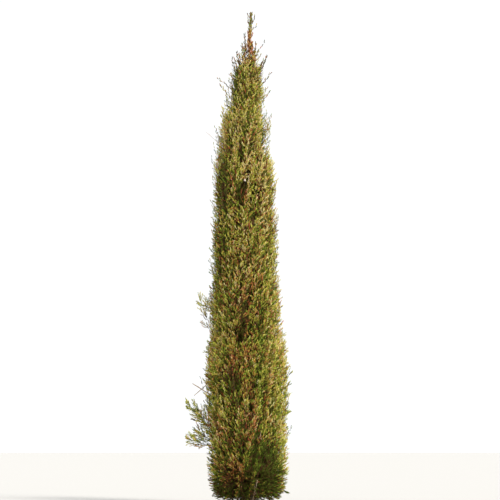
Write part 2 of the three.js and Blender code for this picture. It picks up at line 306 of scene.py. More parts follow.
leafFinish = {
    "scales": 620, "stretch": (1, 1, 0.6),
    "roughness": [(0.1, 0.5), (0.7, 0.78)], "specular": 0.12, "bump": (0.35, 0.0008),
}


def linear(colour):
    value = [int(colour[i:i + 2], 16) / 255 for i in (0, 2, 4)]
    return [*(v / 12.92 if v <= 0.04045 else ((v + 0.055) / 1.055) ** 2.4 for v in value), 1]


def newMaterial(name):
    material = bpy.data.materials.new(name)
    material.use_nodes = True
    nodes = material.node_tree.nodes
    nodes.clear()
    output = nodes.new("ShaderNodeOutputMaterial")
    shader = nodes.new("ShaderNodeBsdfPrincipled")
    material.node_tree.links.new(shader.outputs["BSDF"], output.inputs["Surface"])
    return material, nodes, material.node_tree.links, shader


def placedPattern(nodes, links, kind, scale, stretch, settings):
    place = nodes.new("ShaderNodeTexCoord")
    mapping = nodes.new("ShaderNodeMapping")
    mapping.inputs["Scale"].default_value = stretch
    pattern = nodes.new(kind)
    pattern.inputs["Scale"].default_value = scale
    for socket, value in settings.items():
        pattern.inputs[socket].default_value = value
    links.new(place.outputs["Object"], mapping.inputs["Vector"])
    links.new(mapping.outputs["Vector"], pattern.inputs["Vector"])
    return pattern


def ramp(nodes, links, source, stops):
    node = nodes.new("ShaderNodeValToRGB")
    elements = node.color_ramp.elements
    while len(elements) < len(stops):
        elements.new(0.5)
    for element, (place, colour) in zip(elements, stops):
        element.position = place
        element.color = linear(colour) if isinstance(colour, str) else (colour, colour, colour, 1)
    links.new(source, node.inputs["Fac"])
    return node.outputs["Color"]


def finishSurface(nodes, links, shader, rough, height, finish):
    links.new(ramp(nodes, links, rough, finish["roughness"]), shader.inputs["Roughness"])
    shader.inputs["Specular IOR Level"].default_value = finish["specular"]
    bump = nodes.new("ShaderNodeBump")
    bump.inputs["Strength"].default_value, bump.inputs["Distance"].default_value = finish["bump"]
    links.new(height, bump.inputs["Height"])
    links.new(bump.outputs["Normal"], shader.inputs["Normal"])


def barkMaterial(name, scale, tone):
    material, nodes, links, shader = newMaterial(name)
    finish = {**barkFinish, **tone}
    kind, finer = "ShaderNodeTexNoise", scale * finish["flakes"]
    strips = placedPattern(nodes, links, kind, scale, finish["stretch"], finish["grain"])
    flakes = placedPattern(nodes, links, kind, finer, finish["flakeStretch"], finish["flakeGrain"])
    stops = [(place, finish[key]) for place, key in finish["stops"]]
    links.new(ramp(nodes, links, strips.outputs["Fac"], stops), shader.inputs["Base Color"])
    finishSurface(nodes, links, shader, flakes.outputs["Fac"], strips.outputs["Fac"], finish)
    return material


def foliageMaterial(name, colour):
    material, nodes, links, shader = newMaterial(name)
    shader.inputs["Base Color"].default_value = linear(colour)
    kind = "ShaderNodeTexVoronoi"
    scales = placedPattern(nodes, links, kind, leafFinish["scales"], leafFinish["stretch"], {})
    finishSurface(nodes, links, shader, scales.outputs["Distance"], scales.outputs["Distance"], leafFinish)
    return material


# Trunk, boughs and stems: a tube made once, cut into rings and bent into place with its bark raised

tubeRelief = {"round": 2.4, "along": 6, "apart": (7.3, 0.7), "finer": 2.7, "finerShare": 0.5}


def ringedTube(sides, cuts):
    tube = bmesh.new()
    bmesh.ops.create_cone(tube, cap_ends=True, segments=sides, radius1=1, radius2=1, depth=1)
    upright = [e for e in tube.edges if abs(e.verts[0].co.z - e.verts[1].co.z) > 0.5]
    bmesh.ops.subdivide_edges(tube, edges=upright, cuts=cuts, use_grid_fill=True)
    return tube


def wrapped(bearing, width, height):
    return Vector((math.cos(bearing) * width, math.sin(bearing) * width, height))


def addTube(shape, curve, radii, part, number):
    tube = ringedTube(part["sides"], part["cuts"])
    apart, turn = tubeRelief["apart"]
    offset = Vector((apart * number, apart * number * turn, 0))
    for vertex in tube.verts:
        share = vertex.co.z + 0.5
        bearing = math.atan2(vertex.co.y, vertex.co.x)
        radius = between(radii, share)
        sample = wrapped(bearing, tubeRelief["round"], share * tubeRelief["along"]) + offset
        coarse = noise.noise(sample)
        fine = noise.noise(sample * tubeRelief["finer"])
        radius += part["strip"] * (coarse + tubeRelief["finerShare"] * fine)
        turned = Vector((0, 0, 1)).rotation_difference(curveDirection(curve, share))
        vertex.co = alongCurve(curve, share) + turned @ (outwardOn(bearing) * radius)
    bmesh.ops.recalc_face_normals(tube, faces=tube.faces)
    made = bpy.data.meshes.new("tube")
    tube.to_mesh(made)
    tube.free()
    shape.from_mesh(made)
    bpy.data.meshes.remove(made)


def finishMesh(name, mesh, material, nodes):
    mesh.materials.append(material)
    piece = addObject(name, mesh)
    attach(piece, "root")
    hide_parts(*nodes)


def finishShape(name, shape, material, nodes):
    bmesh.ops.recalc_face_normals(shape, faces=shape.faces)
    mesh = bpy.data.meshes.new(name)
    shape.to_mesh(mesh)
    shape.free()
    mesh.shade_smooth()
    finishMesh(name, mesh, material, nodes)


def barkNoise(bearing, height, pattern):
    around, upward = pattern
    return abs(noise.noise(wrapped(bearing, around, height * upward)))


def makeTrunk():
    shape = ringedTube(trunk["sides"], trunk["cuts"])
    for vertex in shape.verts:
        bearing = math.atan2(vertex.co.y, vertex.co.x)
        height = trunk["tip"] * (vertex.co.z + 0.5) ** trunk["crowding"]
        flare = math.exp(-height / trunk["flareHeight"])
        lobe = 1 + trunk["lobeDepth"] * flare * math.cos(trunk["lobes"] * bearing)
        radius = (trunkRadius(height) + trunk["flare"] * flare) * lobe
        girth = radius / trunk["baseRadius"]
        twisted = bearing + height * trunk["twist"]
        strips = trunk["strip"] * (1 - trunk["stripEdge"] * barkNoise(twisted, height, trunk["stripNoise"]))
        plates = trunk["plate"] * (1 - trunk["plateEdge"] * barkNoise(twisted, height, trunk["plateNoise"]))
        radius += min(girth, 1) * (strips - plates)
        vertex.co = crownPoint(bearing, radius, height)
    finishShape("trunk_bark", shape, barkMaterial("trunkBark", trunk["barkScale"], {}), ["trunk"])


def makeLimbs(name, curves, part, sizes, nodes):
    shape = bmesh.new()
    for number, (curve, thick) in enumerate(zip(curves, sizes)):
        addTube(shape, curve, (thick, thick * part["tipShare"]), part, number)
    bark = barkMaterial(name + "Bark", part["barkScale"], youngTone)
    finishShape(name, shape, bark, nodes)


makeTrunk()
print("trunk made")

carriedCells = [cell for cell in cells if cell["carried"]]
boughSizes = [bough["radius"] * crownRadius(cell["low"]) for cell in carriedCells]
makeLimbs("boughs", [boughCurve(cell) for cell in carriedCells], bough, boughSizes, boughNodes)
stemSizes = [max(stem["least"], stem["radius"] * cell["size"]) for cell in cells]
makeLimbs("stems", [stemCurve(cell) for cell in cells], stem, stemSizes, leafyNodes)
print("boughs and stems made")


# Sprays, one unit long: a thin axis, a shoot at its end and side shoots that curve up along it. A shoot is
# a closed spindle of three sides, kept as a line and what stands off it, so that short ones aren't thin

spray = {
    "kinds": 12,
    "sideShoots": 5,
    "axis": (-0.02, 0.35, 0.8),  # its root, thickest place and tip along the spray
    "axisGirth": 0.6,  # against a shoot's
    "end": (0.6, 0.8, 1),  # the same of the shoot at its end
    "shoots": (0.1, 0.7),  # where the side shoots leave the axis
    "shootLength": (0.47, 0.34),  # at the spray's foot and near its tip
    "lengthPlay": (0.75, 1.2),
    "shootParts": (0.4, 0.65),  # of that length, to its thickest place and on to its tip
    "spread": (38, 17),  # degrees from the axis, at a side shoot's root and tip
    "spreadPlay": (0.75, 1.3),
    "outOfPlane": 55,  # side shoots leave the spray's plane by up to these degrees
    "girthPlay": (0.8, 1.15),
    "closing": (1.1, 0.5),  # the later kinds are narrower, and grow more often low down
    "lowKinds": 0.65,  # how much more often
    "bow": 0.1,
    "roll": 0.9,
    "seed": 40,
    "tintSeed": 5,
    "mostFaces": 190000,  # in one joined piece
}

# The longer plain shoots of the dark middle of the crown
shadeSpray = {"shoots": 4, "turn": 1.7, "belt": (0.35, 0.1), "tip": (0.95, 0.24), "girth": 1.7}

spindlePoints = 5
spindleFaces = np.array([(0, 2, 1), (0, 3, 2), (0, 1, 3), (1, 2, 4), (2, 3, 4), (3, 1, 4)])


def across(direction, turn):
    side = direction.orthogonal().normalized()
    return side * math.cos(turn) + direction.cross(side) * math.sin(turn)


def spindle(root, belt, tip, girth, roll):
    axis = (tip - root).normalized()
    line = [root, belt, belt, belt, tip]
    off = [across(axis, roll + 2 * math.pi * i / 3) * girth for i in range(3)]
    off = [Vector((0, 0, 0)), *off, Vector((0, 0, 0))]
    return np.array([tuple(p) for p in line]), np.array([tuple(p) for p in off])


def sprayKind(number):
    draw = random.Random(spray["seed"] + number)
    closing = between(spray["closing"], number / (spray["kinds"] - 1))
    bow = Vector((draw.uniform(-1, 1), draw.uniform(-0.6, 0.6), 0)) * spray["bow"]

    def axisPoint(along):
        return Vector((0, 0, along)) + bow * 4 * along * (1 - along)

    shoots = [
        spindle(*(axisPoint(along) for along in spray["axis"]), spray["axisGirth"], 0),
        spindle(*(axisPoint(along) for along in spray["end"]), 1, 1),
    ]
    toBelt, toTip = spray["shootParts"]
    low, high = spray["spreadPlay"]
    fan = spray["outOfPlane"]
    for i in range(spray["sideShoots"]):
        share = i / (spray["sideShoots"] - 1)
        out = outwardOn((0 if i % 2 == 0 else math.pi) + math.radians(draw.uniform(-fan, fan)))
        length = between(spray["shootLength"], share) * draw.uniform(*spray["lengthPlay"])
        start, end = (math.radians(a * closing * draw.uniform(low, high)) for a in spray["spread"])
        root = axisPoint(between(spray["shoots"], share))
        belt = root + (out * math.sin(start) + Vector((0, 0, math.cos(start)))) * length * toBelt
        tip = belt + (out * math.sin(end) + Vector((0, 0, math.cos(end)))) * length * toTip
        shoots.append(spindle(root, belt, tip, draw.uniform(*spray["girthPlay"]), draw.uniform(0, 2)))
    return shoots


def shadeKind():
    (beltUp, beltOut), (tipUp, tipOut) = shadeSpray["belt"], shadeSpray["tip"]
    shoots = []
    for i in range(shadeSpray["shoots"]):
        out = outwardOn(i * shadeSpray["turn"])
        belt = Vector((0, 0, beltUp)) + out * beltOut
        tip = Vector((0, 0, tipUp)) + out * tipOut
        shoots.append(spindle(Vector((0, 0, 0)), belt, tip, shadeSpray["girth"], i))
    return shoots


sprayKinds = [sprayKind(i) for i in range(spray["kinds"])] + [shadeKind()]


# Each plume is filled with twigs that leave its stem, bend up and are set with sprays all round. A habit
# says how a twig is dressed: its sprays, where they begin on it, how they stand, and what tints they take

plume = {
    "twigs": [104, 102, 94, 86, 80, 66, 46],  # by tier
    "reach": (0.64, 0.97),  # where twigs end, as shares of the crown's radius
    "outward": 0.6,  # below one, more of them end near the outside
    "upward": (0.01, 0.97),  # and from this share of a plume's height on, over so much of it
    "swing": 1.14,  # over the border between plumes, which would show as a groove
    "rise": 0.1,  # a twig leaves the stem this much below its tip, and more the further out it goes
    "climb": (0.9, 0.7),
    "bendOut": 0.8,
    "bendUp": (0.36, 0.46),  # at the top and low down
    "radius": 0.002,
    "leastSize": 0.75,  # the sprays of small plumes are smaller
    "fullSizeAt": 0.29,
    "lowFrom": 2.0,  # below this height the shoots lean out more and are longer
    "thinFrom": 3.42,  # and above this one the plumes give way to the leader
    "thinOver": 0.26,
}

# Pairs are for the top and the foot of the crown, those of splay for a twig's root and its tip. Depth is
# how much darker a spray is the further it stands inside the crown: painted shade
habits = {
    "crown": {
        "sprays": 7, "from": 0.34, "length": (0.064, 0.086), "girth": (0.003, 0.0027), "splay": (46, 26),
        "upright": (0.56, 0.52), "lean": (0.46, 1.5), "overhang": 1.12, "tone": 0.0, "depth": 0.9,
        "warmth": 0.16, "shade": 2,
    },
    # the skirt's lower tone is painted shade near the ground
    "skirt": {
        "sprays": 9, "from": 0.2, "length": (0.066, 0.066), "girth": (0.0026, 0.0026), "splay": (44, 24),
        "upright": (0.5, 0.5), "lean": (1.5, 1.5), "overhang": 0.99, "tone": -0.24, "depth": 0.8,
        "warmth": 0.4, "shade": 2,
    },
    "tuft": {
        "sprays": 10, "from": 0.3, "length": (0.044, 0.05), "girth": (0.0023, 0.0023), "splay": (46, 22),
        "upright": (0.4, 0.4), "lean": (0.3, 0.4), "overhang": 9, "tone": -0.1, "depth": 0.3,
        "warmth": 0.25, "shade": 0,
    },
    "twiglet": {
        "sprays": 3, "from": 0.3, "length": (0.026, 0.026), "girth": (0.002, 0.002), "splay": (26, 12),
        "upright": (0.5, 0.5), "lean": (0.1, 0.1), "overhang": 9, "tone": -0.36, "depth": 0, "warmth": 0.3,
        "shade": 0,
    },
    "spire": {
        "sprays": 12, "from": 0.3, "length": (0.032, 0.032), "girth": (0.003, 0.003), "splay": (30, 14),
        "upright": (0.3, 0.3), "lean": (0.1, 0.1), "overhang": 9, "tone": -0.5, "depth": 0, "warmth": 0.5,
        "shade": 0,
    },
    "wisp": {
        "sprays": 6, "from": 0.5, "length": (0.034, 0.044), "girth": (0.0022, 0.0022), "splay": (40, 16),
        "upright": (0.35, 0.3), "lean": (0.3, 0.6), "overhang": 3, "tone": -0.26, "depth": 0,
        "warmth": 0.3, "shade": 0,
    },
    "frond": {
        "sprays": 6, "from": 0.2, "length": (0.054, 0.064), "girth": (0.0023, 0.0023), "splay": (34, 12),
        "upright": (0.2, 0.08), "lean": (0.4, 0.9), "overhang": 3, "tone": -0.05, "depth": 0.3,
        "warmth": 0.08, "shade": 0,
    },
}

# How sprays stand on any twig, and what is tried when one would end outside the crown
stance = {
    "splayPlay": (0.5, 1.35), "lowSplay": 0.62,  # splay is less low down
    "lengthPlay": (0.7, 1.3), "taper": (1.1, 0.85),  # shorter towards the twig's tip
    "leanFrom": 0.1,  # nearer to the trunk they lean out less
    "tries": 4, "shrink": 0.84, "turnUp": 0.3, "turnIn": 0.06,
}

# A spray's level runs from dark to pale, and its warmth is the share of its shoots that are spent
levels = {
    "middle": 0.29, "play": 0.31,
    "tipward": 0.18, "twig": 0.24,  # paler towards a twig's tip, for younger shoots and partly as painted light, and on a pale twig
    "low": 0.1, "foot": 0.46, "footTop": 0.62,  # painted shade: darker low down, and again at the foot
    "top": 0.085, "topFrom": 2,  # paler over a metre above this height
    "spentShare": 0.14, "spentWarmth": 0.55,  # of the twigs
}

core = {"twigs": 15, "reach": (0.12, 0.62), "shade": 5, "part": (0.1, 1)}
skirt = {
    "twigs": 40, "reach": (0.28, 0.98), "heights": (0.012, 0.12), "tone": 0.4,
    "shade": 2, "part": (0.3, 0.95), "shadeSize": 0.5,
}
# Shade sprays are dark, and darker still towards the ground: painted shade
shade = {
    "part": (0.04, 0.34), "length": 0.14, "girth": 0.003, "warmth": 0.45,
    "aside": 0.6, "lean": 0.25, "play": (-0.1, 0.12), "foot": 0.3, "footTop": 0.6,
}
wisps = {
    "count": 230, "topShare": 0.6, "heights": (0.35, 2.8, 3.7), "reach": (1.02, 1.28), "lowReach": 0.92,
    "leaderFrom": 3.45, "root": 0.16, "bend": (0.07, 0.7), "radius": 0.0014,
}
leader = {
    "clumps": 25, "clumpTwigs": 4, "heights": (3.3, 3.6), "reach": (0.3, 1.0), "narrowing": 0.36,
    "clumpPlay": (0.5, 0.03), "drop": 0.06, "bend": (0.45, 0.3), "radius": 0.0012,
    "shaft": (3.5, 3.75, 3.985), "thick": 0.0048, "seed": 8,
    "aside": 0.05, "asideBelow": 3.7, "asideOver": 0.12, "spireRadius": (0.0016, 0.0001), "spireDepth": 0.8,
}
twiglets = {
    "count": 132, "reach": (0.003, 0.018), "rise": (0.012, 1.5), "tone": 0.4, "upTo": 3.955, "downTo": 3.78,
    "rust": (3.53, 3.81), "rustShare": 0.74, "rustReach": 1.35, "rustTone": 1.15, "rustWarmth": 0.92,
}
fronds = {
    "count": 44, "heights": (0.12, 1.4), "reach": (0.86, 0.98), "climb": 0.62, "radius": 0.0022,
    "root": 0.5, "drop": 0.03, "bend": 0.55, "sag": 0.03, "sprays": 12, "tone": (0.3, 1),
    "twiglets": 5, "part": (0.34, 0.9), "length": (0.108, 0.048), "play": (0.8, 1.15),
    "ahead": 0.86, "aside": 0.55, "up": 0.12, "bow": 0.006, "finer": 0.5, "strayRadius": 0.0028,
    "straySeed": 900, "seed": 70,
}
tufts = {"count": 50, "heights": (1.6, 3.42), "reach": (0.98, 1.1), "turn": 0.6, "sprays": 16}

# Fronds that stand out of the outline, as in the source: bearing, distance and height of the tip, twiglets,
# how fast they climb
strays = [
    (179, 0.48, 0.81, 13, 0.74), (174, 0.42, 0.73, 9, 0.7), (186, 0.486, 0.53, 9, 0.12),
    (181, 0.4, 0.58, 8, 0.3), (180, 0.375, 1.67, 8, 0.42), (187, 0.315, 1.6, 6, 0.5),
    (2, 0.35, 1.08, 6, 0.62), (-8, 0.33, 0.93, 5, 0.62), (-3, 0.312, 1.28, 5, 0.62),
    (84, 0.35, 1.18, 7, 0.62), (100, 0.345, 0.72, 8, 0.62), (262, 0.325, 1.5, 3, 0.62),
    (108, 0.308, 2.23, 4, 0.62), (60, 0.322, 1.75, 5, 0.62), (290, 0.275, 2.7, 3, 0.62),
    (140, 0.335, 0.95, 7, 0.62), (40, 0.335, 0.6, 7, 0.62),
]

# The top's own shoots: the height where each leaves the leader, bend and tip as x and height, depth, sprays
spires = [
    (3.85, (-0.002, 3.9), (-0.001, 3.965), -0.01, 4), (3.86, (0.036, 3.9), (0.056, 3.95), 0.0, 5),
    (3.82, (0.044, 3.85), (0.068, 3.88), 0.01, 3), (3.58, (-0.03, 3.68), (-0.025, 3.8), -0.01, 12),
    (3.54, (-0.048, 3.63), (-0.049, 3.726), 0.01, 10), (3.45, (0.056, 3.56), (0.065, 3.728), -0.02, 18),
    (3.55, (0.075, 3.66), (0.138, 3.745), 0.02, 5), (3.42, (-0.075, 3.54), (-0.091, 3.648), -0.02, 14),
    (3.36, (-0.115, 3.48), (-0.131, 3.6), 0.01, 12), (3.36, (0.1, 3.46), (0.15, 3.615), -0.01, 24),
    (3.27, (-0.12, 3.38), (-0.138, 3.47), -0.03, 10), (3.25, (-0.15, 3.38), (-0.248, 3.44), 0.0, 8),
    (3.15, (-0.15, 3.28), (-0.22, 3.375), -0.02, 12), (3.25, (0.125, 3.38), (0.179, 3.475), -0.02, 10),
    (3.12, (0.125, 3.25), (0.172, 3.33), 0.02, 9), (3.5, (0.01, 3.6), (0.02, 3.7), -0.06, 12),
    (3.44, (0.0, 3.55), (-0.01, 3.68), 0.07, 12), (3.3, (0.03, 3.42), (0.05, 3.54), -0.13, 12),
    (3.28, (-0.02, 3.42), (-0.04, 3.56), 0.135, 12), (3.38, (0.085, 3.46), (0.108, 3.56), -0.01, 14),
    (3.4, (0.09, 3.49), (0.124, 3.585), -0.03, 14), (3.44, (-0.06, 3.54), (-0.074, 3.64), 0.0, 12),
    (3.38, (-0.085, 3.49), (-0.108, 3.59), -0.03, 12), (3.52, (-0.03, 3.6), (-0.036, 3.69), -0.03, 12),
    (3.5, (0.045, 3.6), (0.056, 3.67), 0.01, 12), (3.56, (0.03, 3.66), (0.034, 3.74), 0.02, 8),
]

# Dead twigs that reach the outline: bearing, distance and height of the tip, thickness, how fast it climbs
deadTwigs = [
    (180, 0.428, 0.965, 0.0068, 0.6), (182, 0.418, 0.872, 0.0052, -0.9), (176, 0.312, 3.01, 0.0022, 0.9),
    (-88.6, 0.33, 2.56, 0.0125, -0.2), (-83, 0.31, 2.575, 0.005, 0.12), (-70, 0.305, 0.55, 0.0042, 0.3),
    (-75, 0.285, 0.2, 0.004, 1.2), (-78, 0.26, 0.12, 0.0036, 1.2), (-118, 0.31, 1.06, 0.003, 0.3),
    (20, 0.335, 1.02, 0.0014, 0.3), (62, 0.3, 1.95, 0.0014, 0.3), (118, 0.36, 0.86, 0.0016, 0.3),
    (148, 0.27, 2.45, 0.003, 0.3), (95, 0.31, 1.42, 0.003, 0.3), (-35, 0.33, 1.75, 0.0013, 0.3),
    (215, 0.33, 1.25, 0.0015, 0.3), (40, 0.3, 0.3, 0.0032, 0.3),
]
deadTwig = {
    "root": 0.5, "lowest": 0.02, "sag": 0.008, "forks": ((0.72, 1), (0.84, 4)),
    "forkLength": 0.05, "forkSpread": 0.6, "forkGirth": 0.45,
    "stubFrom": 0.01,  # a thicker one is a broken stub
}

# Level and warmth run in upright streaks: how many round the crown, how fast they change with height, how
# strong, and how far apart the two patterns are taken
streaks = {"round": 5, "upward": 1.7, "tone": 0.34, "warmth": 0.4, "apart": 20}

# Places where the crown's colour changes, its outline draws in or it opens: bearing and height of the
# middle, half sizes, strength
patches = {
    "rust": [
        (-84, 1.9, 20, 0.42, 0.44), (-97, 1.62, 10, 0.14, 0.62), (-92, 1.45, 9, 0.14, 0.5),
        (-42, 2.3, 13, 0.16, 0.6), (-88, 1.22, 9, 0.11, 0.7), (-111, 1.09, 13, 0.18, 0.66),
        (-111, 1.37, 12, 0.07, 0.5), (-87, 0.95, 10, 0.09, 0.62), (-85, 0.65, 15, 0.17, 0.7),
        (-135, 0.6, 9, 0.05, 0.6), (-72, 0.56, 8, 0.05, 0.7), (-51, 0.8, 7, 0.05, 0.45),
        (-112, 0.25, 30, 0.15, 0.66), (-98, 1.2, 30, 0.7, 0.32), (-90, 3.05, 75, 0.5, 0.24),
        (38, 1.35, 20, 0.3, 0.5), (112, 2.05, 16, 0.35, 0.5), (75, 0.55, 18, 0.2, 0.4),
        (176, 1.3, 14, 0.28, 0.4), (215, 2.45, 14, 0.2, 0.4), (150, 0.3, 20, 0.15, 0.5),
        (30, 0.25, 24, 0.14, 0.5), (90, 3.05, 75, 0.5, 0.24), (125, 0.95, 14, 0.24, 0.5),
        (-86, 3.65, 34, 0.07, 0.85),
    ],
    # painted shade: these make sprays darker where the crown lies in shade
    "dark": [
        (-57, 0.34, 21, 0.16, 0.62), (-145, 0.1, 20, 0.1, 0.4), (-109, 1.0, 10, 0.09, 0.62),
        (-93, 1.5, 5, 0.16, 0.45), (-100, 1.34, 6, 0.05, 0.5), (-118, 1.6, 7, 0.08, 0.3),
        (-103, 0.6, 4, 0.08, 0.4), (-97, 2.51, 8, 0.08, 0.7), (-139, 2.55, 14, 0.24, 0.62),
        (-145, 1.9, 20, 0.5, 0.14), (-145, 2.6, 20, 0.3, 0.14), (-102, 1.2, 22, 0.6, 0.1),
        (60, 0.5, 24, 0.14, 0.4), (160, 1.75, 16, 0.25, 0.3), (100, 2.7, 12, 0.2, 0.3),
        (128, 1.0, 10, 0.12, 0.5),
    ],
    # painted light: these make sprays paler where light falls on the crown
    "bright": [
        (-30, 1.0, 26, 0.34, 0.14), (-14, 0.4, 14, 0.24, 0.26), (-150, 0.78, 20, 0.14, 0.1),
        (-60, 3.0, 60, 0.5, 0.12), (-120, 0.28, 28, 0.14, 0.12), (-40, 1.7, 24, 0.4, 0.06),
        (120, 1.55, 24, 0.3, 0.12), (20, 2.2, 24, 0.4, 0.12), (70, 1.2, 18, 0.25, 0.14),
        (45, 0.8, 16, 0.2, 0.14),
    ],
    "hollow": [
        (186, 3.37, 72, 0.16, 0.4), (180, 3.21, 50, 0.08, 0.22), (-6, 3.12, 42, 0.17, 0.22),
        (-8, 2.96, 50, 0.11, 0.3), (95, 3.3, 40, 0.1, 0.2), (75, 2.25, 24, 0.14, 0.1),
        (135, 2.7, 30, 0.14, 0.12), (180, 1.4, 16, 0.1, 0.06), (50, 1.1, 20, 0.12, 0.08),
        (110, 1.6, 20, 0.1, 0.08),
    ],
    "gap": [
        (-96, 2.53, 5, 0.06, 0.85), (-138, 2.5, 8, 0.16, 0.5), (-110, 0.95, 7, 0.05, 0.6),
        (-60, 0.38, 12, 0.08, 0.5), (-18, 2.93, 12, 0.2, 0.4), (20, 2.0, 7, 0.12, 0.6),
        (70, 1.7, 6, 0.12, 0.6), (130, 1.2, 7, 0.12, 0.6), (170, 2.2, 6, 0.12, 0.6),
        (95, 2.9, 7, 0.08, 0.3),
    ],
}
patchEdge = (1.6, 1.1)  # strength fades with the distance from the middle: a start and a slope

tints = {
    "straw": "e0d290", "gold": "d2c45a", "olive": "b8b746", "moss": "899c32", "deep": "505d19",
    "bronze": "c08a42", "orange": "da9c72", "rust": "b2613a", "umber": "583a20",
}
greens = ["deep", "moss", "olive", "gold", "straw"]
warms = ["umber", "rust", "bronze", "orange", "straw"]
tintPlay = 0.28  # of a shoot's level within its spray
axisTint = 0.2  # an axis is this much darker and warmer

# Sprays may go this far past the solids, and keep this clear of the ground
room = {"aside": 0.02, "above": 0.004, "ground": 0.014}

# What grows is collected here: twigs as curves with a thickness, sprays as lists that run side by side
sprayLists = ["kinds", "roots", "directions", "lengths", "girths", "levels", "warmths"]
growth = {key: [] for key in ["twigs", "deadTwigs", "stubs", *sprayLists]}


def addSpray(kind, root, direction, length, girth, level, warmth):
    values = [kind, tuple(root), tuple(direction), length, girth, level, warmth]
    for key, value in zip(sprayLists, values):
        growth[key].append(value)


def streakAt(point, offset):
    bearing, _ = fromTrunk(point)
    around = outwardOn(bearing) * streaks["round"]
    return noise.noise(Vector((around.x + offset, around.y, point[2] * streaks["upward"])))


def patchStrength(kind, point):
    bearing, _ = fromTrunk(point)
    start, slope = patchEdge
    strength = 0
    for middle, height, halfWidth, halfHeight, most in patches[kind]:
        aside = turnedBy(bearing, math.radians(middle)) / math.radians(halfWidth)
        away = math.hypot(aside, (point[2] - height) / halfHeight)
        strength = max(strength, most * clamp(start - slope * away))
    return strength


def insideBox(point):
    low, high = cadBox
    beside = all(low[i] - room["aside"] < point[i] < high[i] + room["aside"] for i in (0, 1))
    return beside and room["ground"] < point[2] < high[2] + room["above"]


def lowness(height):
    return clamp((plume["lowFrom"] - height) / plume["lowFrom"])


def dressTwig(draw, curve, habitName, tone, size=1.0, count=None, thick=None, spent=0):
    growth["twigs"].append((curve, thick or plume["radius"]))
    habit = habits[habitName]
    count = count or habit["sprays"]
    phase = draw.uniform(0, 6.28)
    ownWarmth = levels["spentWarmth"] if draw.random() < levels["spentShare"] else habit["warmth"]
    for i in range(count):
        share = (i + 0.5) / count
        along = habit["from"] + (1 - habit["from"]) * share
        root = alongCurve(curve, along)
        outward, distance = outwardAt(root)
        low = lowness(root.z)
        lean = between(habit["lean"], low) * min(1, distance / stance["leanFrom"])
        upward = (Vector((0, 0, 1)) + outward * lean).normalized()
        main = curveDirection(curve, along).lerp(upward, between(habit["upright"], low)).normalized()
        splay = math.radians(between(habit["splay"], share)) * draw.uniform(*stance["splayPlay"])
        splay *= 1 - stance["lowSplay"] * low
        side = across(main, phase + i * goldenTurn)
        direction = (main * math.cos(splay) + side * math.sin(splay)).normalized()
        length = between(habit["length"], low) * size * between(stance["taper"], share)
        length *= draw.uniform(*stance["lengthPlay"])
        for _ in range(stance["tries"]):
            tip = root + direction * length
            reached = fromTrunk(tip)[1] / crownRadius(tip.z)
            if insideBox(tip) and reached < habit["overhang"]:
                break
            length *= stance["shrink"]
            direction = (direction + upward * stance["turnUp"] - outward * stance["turnIn"]).normalized()
        else:
            continue
        if draw.random() < patchStrength("gap", tip):
            continue
        level = levels["middle"] + habit["tone"] + levels["tipward"] * share + levels["twig"] * tone
        level += draw.uniform(-levels["play"], levels["play"])
        # painted shade: the deeper inside the crown a spray stands, the darker it is
        inner = habit["depth"] * (1 - min(1, reached))
        # painted shade: darker low down and again at the foot
        level -= inner + levels["low"] * low + levels["foot"] * max(0, 1 - tip.z / levels["footTop"])
        level += streaks["tone"] * streakAt(tip, 0) + levels["top"] * clamp(tip.z - levels["topFrom"])
        # painted light and painted shade from the bright and dark patches
        level += patchStrength("bright", tip) - patchStrength("dark", tip)
        warmth = max(ownWarmth, spent, patchStrength("rust", tip))
        warmth += streaks["warmth"] * streakAt(tip, streaks["apart"])
        girth = between(habit["girth"], low) * size
        kind = int(spray["kinds"] * draw.random() ** (1 - spray["lowKinds"] * low))
        addSpray(kind, root, direction, length, girth, level, warmth)
    addShade(draw, curve, shade["part"], habit["shade"], size)


def addShade(draw, curve, part, count, size):
    aside = shade["aside"]
    for i in range(count):
        root = alongCurve(curve, between(part, (i + draw.random()) / count))
        outward, _ = outwardAt(root)
        loose = Vector((draw.uniform(-aside, aside), draw.uniform(-aside, aside), 1))
        direction = (loose + outward * shade["lean"]).normalized()
        # painted shade: darker towards the ground
        level = draw.uniform(*shade["play"]) - shade["foot"] * max(0, 1 - root.z / shade["footTop"])
        length, girth = shade["length"] * size, shade["girth"] * size
        addSpray(spray["kinds"], root, direction, length, girth, level, shade["warmth"])


def onLimb(limb, height):
    foot, _, top = limb
    return alongCurve(limb, clamp((height - foot.z) / (top.z - foot.z), *stem["twigs"]))


def twigCurve(limb, tip):
    low = lowness(tip.z)
    climb = between(plume["climb"], low)
    aside = tip - onLimb(limb, tip.z)
    start = onLimb(limb, tip.z - plume["rise"] - climb * math.hypot(aside.x, aside.y))
    way = tip - start
    out, up = plume["bendOut"], between(plume["bendUp"], low)
    return start, start + Vector((way.x * out, way.y * out, way.z * up)), tip


def plumePoint(cell, swing, share, reach):
    bearing = cell["bearing"] + swing * cell["half"]
    height = (cell["low"] + cell["high"]) / 2
    for _ in range(5):  # the floor and the radius each depend on the other
        distance = crownRadius(height) * reach
        foot = floorHeight(cell["level"], bearing, distance)
        head = min(floorHeight(cell["level"] + 1, bearing, distance), crown["height"] - crown["topClear"])
        height = foot + (head - foot) * share
    drawnIn = 1 - patchStrength("hollow", crownPoint(bearing, distance, height))
    return rimPoint(bearing, reach * drawnIn, height)


